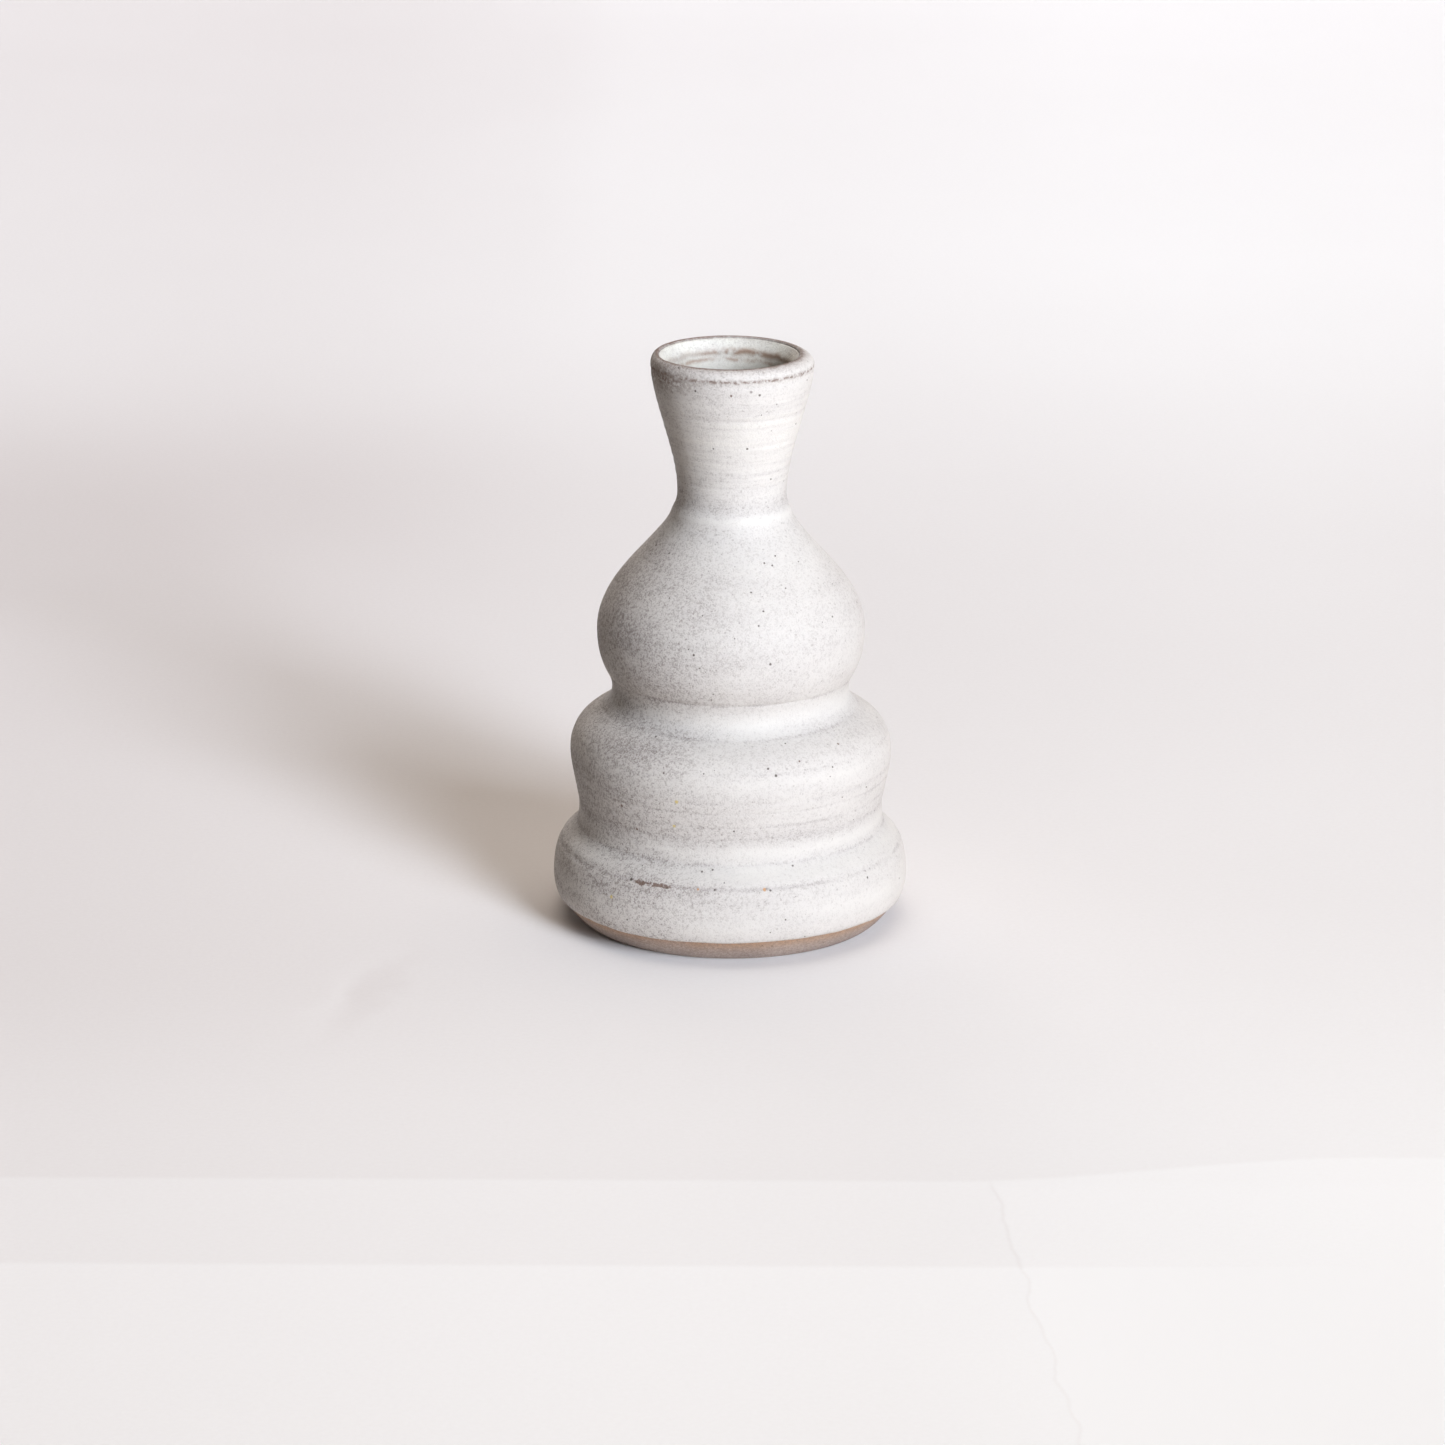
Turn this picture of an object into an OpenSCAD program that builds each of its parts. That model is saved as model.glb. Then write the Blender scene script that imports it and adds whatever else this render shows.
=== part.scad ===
// Hand-thrown bud vase in stoneware: a rounded base tier, a narrower middle tier, a round bulb
// and a flared neck, all one clay body, with a glaze coat outside and a glaze liner inside.
// The frame has +Z up the turning axis and its origin at the middle of the foot's resting plane.

/* [Overall] */
// Height from the resting plane to the top of the lip
vase_h = 150; // [148:0.5:156]

/* [Foot] */
// Radius of the ring that the vase rests on
foot_r = 39; // [36:0.5:41]
// Radius of the shallow hollow turned into the underside
recess_r = 32; // [20:0.5:34]
// Depth of that hollow
recess_depth = 1.5; // [0.5:0.1:2.5]
// Height at which the glaze stops and bare clay begins
glaze_line_z = 6; // [4:0.5:8]

/* [Base tier] */
// Radius of the base tier at its widest
base_r = 46.2; // [45:0.1:50]
// Height of the widest line of the base tier
base_z = 11.5; // [10:0.5:14]

/* [Waist] */
// Radius of the waist between the base tier and the middle tier
waist_r = 39.3; // [37:0.1:40.5]
// Height of the waist
waist_z = 29.2; // [27:0.1:31]

/* [Middle tier] */
// Radius of the middle tier at its widest
middle_r = 41.7; // [41:0.1:45]
// Height of the widest line of the middle tier
middle_z = 44.4; // [42:0.1:46]

/* [Crease] */
// Radius of the crease between the middle tier and the bulb
crease_r = 30.6; // [28:0.1:32]
// Height of the crease
crease_z = 61.5; // [59:0.5:63]

/* [Bulb] */
// Radius of the bulb at its widest
bulb_r = 34.6; // [34:0.1:38]
// Height of the widest line of the bulb
bulb_z = 77.2; // [75:0.1:80]

/* [Neck] */
// Outer radius of the throat, the narrowest place of the neck
throat_r = 14.15; // [13.75:0.05:16]
// Height of the throat
throat_z = 114; // [111:0.5:117]
// Outer radius of the lip's edge, the widest place of the neck
lip_r = 20.95; // [20:0.05:23]
// Drop from the top of the lip to its outer edge
lip_drop = 2.6; // [2:0.1:4]
// Radius of the mouth at the sharp inner edge of the lip
mouth_r = 18.2; // [17.5:0.1:19]

/* [Inside] */
// Radius of the straight bore inside the throat, which holds the stem
bore_r = 10; // [8:0.1:10.25]
// Length of that bore
bore_len = 8; // [4:0.5:10]
// Thickness of the wall
wall_t = 4.6; // [4:0.1:5.5]
// Thickness of the floor inside the foot
floor_t = 7; // [6:0.5:8]

/* [Glaze] */
// Thickness of the outer glaze coat
coat_t = 0.6; // [0.4:0.05:0.8]
// Thickness of the glaze liner inside
liner_t = 0.4; // [0.3:0.05:0.5]

/* [Hidden] */
$fn = 180;
steps = 12;

// Softness of the ring's arris where the foot meets the surface that it stands on
foot_soft = 0.8;
// Two points of that soft arris, as shares of the softness
arris_low = [-0.3, 0.1];
arris_high = [0.3, 0.3];
// Angle of the foot's bevel from upright, and how far it reaches before it turns up
bevel_angle = 54;
bevel_reach = 4.2;
// Share of the base's height over which the bevel turns upright
bevel_full = 0.5;
// Height beside the glaze line that is kept free of other points of the outline
line_gap = 0.3;
// Fullness of each curve, from its lower end and from its upper end, as shares of its height
shoulder_full = [0.79, 0.50];
rise_full = [0.24, 0.23];
middle_full = [0.71, 0.43];
bulb_low_full = [0.31, 0.66];
bulb_high_full = [0.42, 0.34];
flare_full = [0.32, 0.25];
// Roundness of the lip's edge, and how its slope reaches the mouth
lip_full = 0.4;
lip_slope = [1.2, -0.3];
// The inside is plainer than the outside, because it was never turned
inner_full = [0.45, 0.45];
// Inner corner between the floor and the wall of the base, where the clay is left thicker
corner_r = 12;
corner_thick = 2.4;
// Height of that corner, and its fullness along the floor and up the wall, as shares of its radius
corner_rise = 0.7;
corner_floor_full = 0.45;
corner_wall_full = 0.4;
// Behind the waist the wall is this much thicker, and narrowest this much lower than outside
waist_extra = 0.6;
waist_lag = 1;
// The lip slopes in from the mouth to this radius, this far below the top
inner_ring_r = 16;
inner_ring_drop = 3.5;
// How far the flare inside rises straight at both ends, and its lean where it meets the lip's slope
inner_flare_rise = 10;
inner_flare_lean = 1.6;
// How far the lip's slope bulges halfway up
lip_bulge = 0.15;
// The clay under the lip's edge lies this far from it, as a share of both coats
lip_cover = [0.15, -0.75];

// The visible outline's stations: the places where the wall stands upright
base_at = [base_r, base_z];
waist_at = [waist_r, waist_z];
middle_at = [middle_r, middle_z];
crease_at = [crease_r, crease_z];
bulb_at = [bulb_r, bulb_z];
throat_at = [throat_r, throat_z];
lip_at = [lip_r, vase_h - lip_drop];
mouth_at = [mouth_r, vase_h];
clay_lip_at = mouth_at + (coat_t + liner_t) * lip_cover;

// A point of the cubic curve from a to d that leaves towards b and arrives from c
function bezier(a, b, c, d, t) =
    pow(1 - t, 3) * a + 3 * pow(1 - t, 2) * t * b + 3 * (1 - t) * t * t * c + pow(t, 3) * d;

// The curve from a to d without its last point, so that curves can follow each other
function curve(a, b, c, d) = [for (i = [0 : steps - 1]) bezier(a, b, c, d, i / steps)];

// A curve between two stations, upright at both, with the fullness given for each end
function sweep(low, high, full) =
    let (rise = high.y - low.y)
    curve(low, low + [0, full[0] * rise], high - [0, full[1] * rise], high);

// An outline moved sideways by a distance, to the left of its own direction
function moved(path, distance) = [
    for (i = [0 : len(path) - 1])
        let (
            ahead = path[min(i + 1, len(path) - 1)] - path[max(i - 1, 0)],
            side = [-ahead.y, ahead.x] / norm(ahead)
        )
        path[i] + distance * side
];

function backwards(path) = [for (i = [len(path) - 1 : -1 : 0]) path[i]];
function between(path, low, high) = [for (p = path) if (p.y > low && p.y < high) p];

// The outside, from the foot's bevel up to the last point before the edge of the mouth
outside = concat(
    curve(
        [foot_r, 0] + foot_soft * arris_high,
        [foot_r, 0] + bevel_reach * [sin(bevel_angle), cos(bevel_angle)],
        base_at - [0, bevel_full * base_z],
        base_at
    ),
    sweep(base_at, waist_at, shoulder_full),
    sweep(waist_at, middle_at, rise_full),
    sweep(middle_at, crease_at, middle_full),
    sweep(crease_at, bulb_at, bulb_low_full),
    sweep(bulb_at, throat_at, bulb_high_full),
    sweep(throat_at, lip_at, flare_full),
    curve(lip_at, lip_at + [0, lip_full * lip_drop], mouth_at + lip_slope, mouth_at)
);

// The inside, from the corner of the floor up to the last point before the edge of the mouth
bore_low = [bore_r, throat_z - bore_len / 2];
bore_high = [bore_r, throat_z + bore_len / 2];
inner_base_at = [base_r - wall_t - corner_thick, floor_t + corner_rise * corner_r];
inner_waist_at = waist_at - [wall_t + waist_extra, waist_lag];
inner_ring_at = [inner_ring_r, vase_h - inner_ring_drop];
inside = concat(
    curve(
        [inner_base_at.x - corner_r, floor_t],
        [inner_base_at.x - corner_floor_full * corner_r, floor_t],
        inner_base_at - [0, corner_wall_full * corner_r],
        inner_base_at
    ),
    sweep(inner_base_at, inner_waist_at, inner_full),
    sweep(inner_waist_at, middle_at - [wall_t, 0], rise_full),
    sweep(middle_at - [wall_t, 0], crease_at - [wall_t, 0], inner_full),
    sweep(crease_at - [wall_t, 0], bulb_at - [wall_t, 0], inner_full),
    sweep(bulb_at - [wall_t, 0], bore_low, inner_full),
    [bore_low],
    curve(
        bore_high,
        bore_high + [0, inner_flare_rise],
        inner_ring_at - [inner_flare_lean, inner_flare_rise],
        inner_ring_at
    ),
    [inner_ring_at, (inner_ring_at + mouth_at) / 2 + [lip_bulge, 0]]
);

// The clay's outline is the visible one less the coats
glazed_start = [lookup_radius(outside, glaze_line_z), glaze_line_z];
outer_skin = concat([glazed_start], between(outside, glaze_line_z + line_gap, vase_h));
clay_outside = moved(outer_skin, coat_t);
bare_foot = concat(
    [[foot_r - foot_soft, 0], [foot_r, 0] + foot_soft * arris_low],
    [for (p = outside) if (p.y < glaze_line_z - line_gap) p]
);
inner_skin = concat([[0, floor_t]], inside);
clay_inside = concat([[0, floor_t - liner_t]], moved(inside, -liner_t));

// The radius of an outline at a height, along its straight pieces
function lookup_radius(path, height) = lookup(height, [for (p = path) [p.y, p.x]]);

module turned(outline) rotate_extrude() polygon(outline);

// One thrown clay wall with its floor, bare on the bevelled foot and on the turned underside
module stoneware_body() {
    color("#8c7b6d") turned(concat(
        [[0, recess_depth], [recess_r - recess_depth, recess_depth], [recess_r, 0]],
        bare_foot,
        [glazed_start],
        clay_outside,
        [clay_lip_at],
        backwards(clay_inside)
    ));
}

// The glaze outside, from the glaze line up and over the lip
module outer_glaze() {
    color("#e6e3df") turned(concat(
        outer_skin,
        [mouth_at, clay_lip_at],
        backwards(clay_outside)
    ));
}

// The glaze inside, over the floor and up the wall to the edge of the mouth
module inner_glaze() {
    color("#dfe0d8") turned(concat(
        inner_skin,
        [mouth_at, clay_lip_at],
        backwards(clay_inside)
    ));
}

stoneware_body();
outer_glaze();
inner_glaze();
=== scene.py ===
"""A wheel-thrown stoneware bud vase under a satin white glaze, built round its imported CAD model.

The vase is one outline, from the middle of its underside up the outside, over the lip and down
the inside to the floor, turned round the Z axis and then roughened as a potter's hands leave it.
The clay body and the two glaze coats are closed meshes that share this surface.
"""
import math

import bpy
import numpy as np
from mathutils import Matrix, Vector


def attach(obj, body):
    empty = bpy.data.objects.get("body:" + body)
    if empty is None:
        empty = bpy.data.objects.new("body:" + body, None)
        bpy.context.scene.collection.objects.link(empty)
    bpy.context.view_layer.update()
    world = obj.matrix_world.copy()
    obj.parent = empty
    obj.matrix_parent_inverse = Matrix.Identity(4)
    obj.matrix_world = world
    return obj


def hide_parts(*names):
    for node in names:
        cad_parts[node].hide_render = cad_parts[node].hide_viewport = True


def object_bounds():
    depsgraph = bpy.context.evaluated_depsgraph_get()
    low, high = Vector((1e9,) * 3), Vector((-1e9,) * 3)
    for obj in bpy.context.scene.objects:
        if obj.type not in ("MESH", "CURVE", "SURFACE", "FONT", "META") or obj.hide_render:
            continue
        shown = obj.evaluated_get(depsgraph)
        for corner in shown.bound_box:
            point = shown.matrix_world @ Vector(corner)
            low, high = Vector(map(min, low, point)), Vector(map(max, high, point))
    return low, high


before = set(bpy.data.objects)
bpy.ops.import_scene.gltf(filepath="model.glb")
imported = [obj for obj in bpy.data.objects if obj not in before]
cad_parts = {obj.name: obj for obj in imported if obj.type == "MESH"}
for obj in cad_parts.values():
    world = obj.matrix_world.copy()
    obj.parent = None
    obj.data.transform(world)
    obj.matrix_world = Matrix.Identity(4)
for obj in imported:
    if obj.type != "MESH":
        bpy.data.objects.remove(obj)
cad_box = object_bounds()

MM = 0.001
PER_MM = 1000.0
FULL_TURN = 2 * math.pi
SEED = 7

# --- The vase's outline, in millimetres: (radius, height) of each place where the wall stands
# upright, as the CAD has them, and the fullness of the curve from each one to the next.
TOP = cad_box[1].z / MM
BASE, WAIST, MIDDLE = (46.2, 11.5), (39.3, 29.2), (41.7, 44.4)
CREASE, BULB, THROAT = (30.6, 61.5), (34.6, 77.2), (14.15, 114.0)
LIP_EDGE = (20.95, TOP - 2.6)
OUTER_CURVES = (
    (BASE, WAIST, 0.79, 0.50),
    (WAIST, MIDDLE, 0.24, 0.23),
    (MIDDLE, CREASE, 0.71, 0.43),
    (CREASE, BULB, 0.31, 0.66),
    (BULB, THROAT, 0.42, 0.34),
    (THROAT, LIP_EDGE, 0.32, 0.25),
)
FOOT_R, RECESS_DEPTH = 38.6, 1.5
MOUTH_TOP, MOUTH_EDGE = (18.45, TOP), (17.75, TOP - 0.55)
INNER_RING = (16.0, TOP - 3.5)
BORE_R, BORE_LOW, BORE_HIGH = 10.0, 110.0, 118.0
INNER_CURVES = (
    ((30.0, 77.2), (26.0, 61.5)),
    ((26.0, 61.5), (37.1, 44.4)),
    ((37.1, 44.4), (34.1, 28.2)),
    ((34.1, 28.2), (39.2, 15.4)),
)
FLOOR_Z, FLOOR_CORNER_R = 7.0, 27.2

GLAZE_LINE_Z = 6.0
COAT_T, LINER_T = 0.6, 0.4

# --- What the wheel and the glaze left, from the foot up, and last the lip's edge and the broad bands. Each mark is (height, half-width, relief, thinness): relief in millimetres is out of the wall, and thinness says how much greyer the glaze is painted there, or whiter where it is negative. This is partly the glaze's own thinning and partly painted light and shade: painted shade in the grooves, in the crease under the bulb and on the bulb's broad band, and painted light on the ridges and ledges and on the broad bands of the base, the middle and the neck. A mark's place in the list seeds its unevenness.
MARKS = (
    (9.0, 1.2, 0.00, -0.10),
    (13.0, 6.0, 0.00, -0.12),
    (17.0, 3.0, -0.16, 0.10),
    (20.4, 0.50, -0.15, 0.50),
    (22.8, 1.7, 0.10, -0.25),
    (25.4, 0.42, -0.13, 0.38),
    (28.2, 1.5, 0.12, -0.28),
    (31.9, 0.9, -0.10, 0.22),
    (35.4, 0.45, -0.07, 0.30),
    (39.2, 0.30, -0.09, 0.40),
    (42.0, 0.50, -0.07, 0.26),
    (47.0, 1.0, 0.06, -0.10),
    (49.6, 0.45, -0.06, 0.24),
    (53.0, 2.6, -0.02, 0.14),
    (56.6, 0.35, -0.10, 0.30),
    (60.5, 2.4, 0.05, -0.30),
    (65.0, 0.40, -0.16, 0.60),
    (105.5, 3.0, -0.14, 0.00),
    (108.9, 1.1, 0.16, -0.30),
    (112.0, 1.9, -0.10, 0.34),
    (117.5, 0.5, -0.04, 0.12),
    (123.0, 0.5, -0.04, 0.12),
    (128.5, 0.5, -0.04, 0.14),
    (133.0, 0.5, -0.04, 0.16),
    (136.5, 0.6, -0.05, 0.18),
    (145.8, 0.55, -0.13, 0.10),
    (129.0, 11.0, 0.00, -0.28),
    (149.7, 0.9, 0.00, 0.40),
    (84.0, 16.0, 0.00, 0.10),
    (48.0, 14.0, 0.00, -0.06),
)
# A mark with less than this half-width is a fine line
FINE_MARK = 0.7

# How far one turn rises, in millimetres: the neck's throwing rings and the finer lines all over,
# the potter's fingers inside, and the turning tool under the foot
RING_PITCH, FINE_PITCH, FINGER_PITCH, TOOL_PITCH = 2.35, 1.3, 5.2, 2.1
# The mouth's opening lies this far to the left of the lip's middle
MOUTH_SHIFT = 0.85


def bezier(a, b, c, d, count=48):
    """Points of a cubic curve from a to d, without d."""
    t = np.linspace(0, 1, count, endpoint=False)[:, None]
    a, b, c, d = (np.array(p, float) for p in (a, b, c, d))
    return (1 - t) ** 3 * a + 3 * (1 - t) ** 2 * t * b + 3 * (1 - t) * t**2 * c + t**3 * d


def sweep(start, end, full_start=0.45, full_end=0.45):
    """The curve between two stations, upright at both."""
    rise = end[1] - start[1]
    leave = (start[0], start[1] + full_start * rise)
    arrive = (end[0], end[1] - full_end * rise)
    return bezier(start, leave, arrive, end)


def smooth_step(x, low, high):
    t = np.clip((x - low) / (high - low), 0, 1)
    return t * t * (3 - 2 * t)


class Outline:
    """The vase's half section as a path, with its distance along the path and its normals."""

    def __init__(self, points):
        keep = np.linalg.norm(np.diff(points, axis=0), axis=1) > 1e-6
        points = points[np.append(keep, True)]
        steps = np.linalg.norm(np.diff(points, axis=0), axis=1)
        self.s = np.concatenate([[0], np.cumsum(steps)])
        self.r, self.z = points[:, 0], points[:, 1]
        across, up = np.gradient(self.r, self.s), np.gradient(self.z, self.s)
        size = np.hypot(across, up)
        self.normal_r, self.normal_z = up / size, -across / size
        self.length = self.s[-1]

    def at(self, s):
        parts = (self.r, self.z, self.normal_r, self.normal_z)
        return [np.interp(s, self.s, part) for part in parts]

    def place_of(self, point):
        """The distance along the outline of its nearest point to a (radius, height)."""
        return self.s[np.argmin(np.hypot(self.r - point[0], self.z - point[1]))]


def vase_outline():
    """The whole outline, from the middle of the underside to the middle of the floor inside."""
    parts = [
        bezier((0, RECESS_DEPTH), (12, RECESS_DEPTH), (22, RECESS_DEPTH), (29, RECESS_DEPTH - 0.05)),
        bezier((29, RECESS_DEPTH - 0.05), (31.2, RECESS_DEPTH - 0.1), (31.6, 0.1), (33.2, 0.0)),
        bezier((33.2, 0.0), (34.6, 0), (36.2, 0), (FOOT_R - 0.8, 0)),
        bezier((FOOT_R - 0.8, 0), (FOOT_R - 0.2, 0.0), (FOOT_R + 0.2, 0.1), (FOOT_R + 0.6, 0.42)),
        bezier((FOOT_R + 0.6, 0.42), (FOOT_R + 3.6, 2.55), (BASE[0], 5.8), BASE),
    ]
    parts += [sweep(*curve) for curve in OUTER_CURVES]
    parts += [
        bezier(LIP_EDGE, (20.95, TOP - 1.3), (19.5, TOP), MOUTH_TOP),
        bezier(MOUTH_TOP, (18.15, TOP), (17.95, TOP - 0.22), MOUTH_EDGE),
        bezier(MOUTH_EDGE, (17.3, TOP - 1.2), (16.4, TOP - 2.3), INNER_RING),
        bezier(INNER_RING, (14.6, TOP - 11), (BORE_R, BORE_HIGH + 11), (BORE_R, BORE_HIGH)),
        bezier((BORE_R, BORE_HIGH), (BORE_R, 115), (BORE_R, 113), (BORE_R, BORE_LOW)),
        sweep((BORE_R, BORE_LOW), INNER_CURVES[0][0]),
    ]
    parts += [sweep(*curve) for curve in INNER_CURVES]
    corner = INNER_CURVES[-1][1]
    parts += [
        bezier(corner, (corner[0], 10.6), (33.0, FLOOR_Z), (FLOOR_CORNER_R, FLOOR_Z)),
        bezier((FLOOR_CORNER_R, FLOOR_Z), (18, FLOOR_Z), (8, FLOOR_Z), (0, FLOOR_Z)),
        [[0, FLOOR_Z]],
    ]
    return Outline(np.concatenate(parts))


OUTLINE = vase_outline()
S_FOOT = OUTLINE.place_of((FOOT_R, 0.2))
S_LINE = OUTLINE.place_of((44.9, GLAZE_LINE_Z))
S_LIP = OUTLINE.place_of(LIP_EDGE)
S_MOUTH = OUTLINE.place_of(MOUTH_EDGE)
S_BORE = OUTLINE.place_of((BORE_R, BORE_HIGH))
S_END = OUTLINE.length


def soft_noise(theta, along, cells_round, cell, seed):
    """Smooth noise from -1 to 1 that closes round the vase; cell is its size along the other way."""
    rng = np.random.RandomState(SEED + seed)
    rows = 64
    table = rng.uniform(-1, 1, (rows, cells_round))
    u = (np.asarray(theta) % FULL_TURN) / FULL_TURN * cells_round
    v = np.asarray(along) / cell + seed * 0.37
    u, v = np.broadcast_arrays(u, v)
    i, j = np.floor(u).astype(int), np.floor(v).astype(int)
    fu, fv = smooth_step(u - i, 0, 1), smooth_step(v - j, 0, 1)
    a = table[j % rows, i % cells_round] * (1 - fu) + table[j % rows, (i + 1) % cells_round] * fu
    b = table[(j + 1) % rows, i % cells_round] * (1 - fu)
    b = b + table[(j + 1) % rows, (i + 1) % cells_round] * fu
    return a * (1 - fv) + b * fv


def ring_wave(theta, z):
    """How far, in millimetres, the marks of the wheel rise and fall round the vase."""
    sway = 0.22 * np.cos(theta + 0.9) + 0.10 * np.cos(2 * theta - 0.6)
    return sway + 0.13 * soft_noise(theta, z, 9, 9.0, 3) + 0.05 * soft_noise(theta, z, 40, 5.0, 4)


def level_of(theta, z):
    """Height in millimetres as the marks count it, so that a mark's line is one level."""
    calm = smooth_step(z, 8, 16) * (1 - smooth_step(z, 138, 146))
    return z - calm * ring_wave(theta, z)


def rim_relief(theta):
    """The lip's unevenness, which both coats share where they meet."""
    return -0.10 + 0.07 * soft_noise(theta, 0, 9, 1, 10) + 0.03 * soft_noise(theta, 0, 40, 1, 11)


def outside_relief(theta, s, z):
    """The marks, the throwing rings, the unevenness of hand work, and the lip's edge."""
    level = level_of(theta, z)
    out = np.zeros(np.broadcast(theta, s).shape)
    for index, (height, width, relief, _) in enumerate(MARKS):
        uneven = 1 + 0.45 * soft_noise(theta, height, 11, 1.0, 20 + index)
        out = out + relief * uneven * np.exp(-(((level - height) / width) ** 2))
    neck = smooth_step(z, 112, 118) * (1 - smooth_step(z, 139, 145))
    turns = level / RING_PITCH + theta / FULL_TURN
    out = out + 0.032 * neck * np.sin(FULL_TURN * turns) * (1 + 0.6 * soft_noise(theta, z, 9, 7, 5))
    finer = level / FINE_PITCH + theta / FULL_TURN
    out = out + 0.014 * np.sin(FULL_TURN * finer) * (1 + soft_noise(theta, z, 7, 11, 6)) / 2
    hands = 0.10 * soft_noise(theta, z, 5, 21, 7) + 0.05 * soft_noise(theta, z, 13, 8, 8)
    out = out + hands - 0.05
    out = out + 0.016 * soft_noise(theta, z, 90, 2.6, 9)
    lip = smooth_step(s, S_LIP - 1.5, S_MOUTH - 1.2)
    out = out * (1 - lip) + rim_relief(theta) * lip
    standing = smooth_step(z, 0.0, 3.0)
    widest = np.exp(-(((z - BASE[1]) / 4.5) ** 2))
    return out * standing - 0.12 * widest * standing


def inside_relief(theta, s, z):
    """The grooves of the potter's fingers, and a low ring below the lip's slope."""
    depth = s - S_MOUTH
    turns = depth / FINGER_PITCH - theta / FULL_TURN
    fingers = 0.20 * np.sin(FULL_TURN * turns) * smooth_step(depth, 6, 20)
    calm = smooth_step(depth, 0.0, 2.0)
    hands = 0.10 * soft_noise(theta, depth, 6, 14, 12) + 0.05 * soft_noise(theta, depth, 20, 4, 13)
    ring = 0.14 * np.exp(-(((z - INNER_RING[1]) / 0.8) ** 2)) * (1 + soft_noise(theta, 0, 8, 1, 14))
    middle = smooth_step(S_END - s, 0.0, 8.0)
    return rim_relief(theta) * (1 - calm) + (fingers + hands + ring) * calm * middle


def under_relief(theta, s, z):
    """The turning tool's spiral on the underside, none of it below the resting plane."""
    groove = 0.5 + 0.5 * np.sin(FULL_TURN * (s / TOOL_PITCH - theta / FULL_TURN))
    hollow = smooth_step(z, 0.15, 0.8)
    return -0.07 * groove * hollow * smooth_step(s, 1.0, 6.0)


def surface_relief(theta, s, z):
    """Millimetres that the real surface stands out of the outline."""
    under = under_relief(theta, s, z)
    outside = outside_relief(theta, s, z)
    inside = inside_relief(theta, s, z)
    return np.where(s < S_FOOT, under, np.where(s < S_MOUTH, outside, inside))


def drift(s, z):
    """How far the middle of a section has wandered off the axis, in millimetres, as (x, y)."""
    sway_x = 0.07 * np.sin(z / 17.0) + 0.05 * np.sin(z / 6.1 + 1.0)
    sway_y = 0.08 * np.sin(z / 23.0 + 2.0)
    standing = smooth_step(z, 4, 20) * (1 - smooth_step(s, S_MOUTH + 30, S_MOUTH + 60))
    opening = smooth_step(s, S_LIP, S_MOUTH) * (1 - smooth_step(s, S_MOUTH + 8, S_BORE))
    return sway_x * standing - MOUTH_SHIFT * opening, sway_y * standing


def place(theta, s, lift):
    """Points in metres on the surface at angle theta and outline distance s, lifted off it."""
    theta, s, lift = np.broadcast_arrays(theta, s, lift)
    r, z, normal_r, normal_z = OUTLINE.at(s)
    out = surface_relief(theta, s, z) + lift
    radius, height = r + normal_r * out, z + normal_z * out
    x, y = drift(s, z)
    points = np.stack([radius * np.cos(theta) + x, radius * np.sin(theta) + y, height], -1)
    return points * MM


# --- Meshes ---------------------------------------------------------------------------------

COLUMNS = 264
ANGLES = np.arange(COLUMNS) / COLUMNS * FULL_TURN


def rows_between(low, high, step, fine_step=None):
    """Distances along the outline, closer together over the thin marks where asked."""
    samples, reach = 4000, 1.3
    s = np.linspace(low, high, samples)
    density = np.full_like(s, 1 / step)
    if fine_step:
        z = OUTLINE.at(s)[1]
        fine = [height for height, width, _, _ in MARKS if width < FINE_MARK]
        near = [np.exp(-(((z - height) / reach) ** 4)) for height in fine]
        density = density + (1 / fine_step - 1 / step) * np.max(near, axis=0)
    count = np.concatenate([[0], np.cumsum((density[1:] + density[:-1]) / 2 * np.diff(s))])
    return np.interp(np.linspace(0, count[-1], int(round(count[-1])) + 1), count, s)


def turned_mesh(name, rows, ends_on_axis):
    """A closed mesh of rings. Each row is (s, lift), where s may be one value for each angle. The
    first and last rings each close in a point on the axis, or else they join each other."""
    s = np.stack([np.broadcast_to(row[0], ANGLES.shape) for row in rows])
    lift = np.stack([np.broadcast_to(row[1], ANGLES.shape) for row in rows])
    points = place(ANGLES[None, :], s, lift)
    count = len(rows)
    vertices = list(map(tuple, points.reshape(-1, 3)))
    faces = []
    for i in range(count - 1 if ends_on_axis else count):
        low, high = i * COLUMNS, ((i + 1) % count) * COLUMNS
        for j in range(COLUMNS):
            k = (j + 1) % COLUMNS
            faces.append((low + j, low + k, high + k, high + j))
    for ring in (0, count - 1) if ends_on_axis else ():
        middle = points[ring].mean(axis=0)
        vertices.append(tuple(middle))
        tip, start = len(vertices) - 1, ring * COLUMNS
        for j in range(COLUMNS):
            k = (j + 1) % COLUMNS
            faces.append((tip, start + k, start + j) if ring == 0 else (tip, start + j, start + k))
    mesh = bpy.data.meshes.new(name)
    mesh.from_pydata(vertices, [], faces)
    mesh.update()
    heights = OUTLINE.at(s)[1]
    levels = level_of(ANGLES[None, :], heights).reshape(-1)
    levels = np.append(levels, [heights[0, 0], heights[-1, 0]])[: len(vertices)]
    mesh.attributes.new("level", "FLOAT", "POINT").data.foreach_set("value", levels)
    inward = np.append(s.reshape(-1), [s[0, 0], s[-1, 0]])[: len(vertices)] - S_MOUTH
    mesh.attributes.new("inward", "FLOAT", "POINT").data.foreach_set("value", inward)
    mesh.polygons.foreach_set("use_smooth", np.ones(len(faces), bool))
    piece = bpy.data.objects.new(name, mesh)
    bpy.context.scene.collection.objects.link(piece)
    return piece


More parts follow.
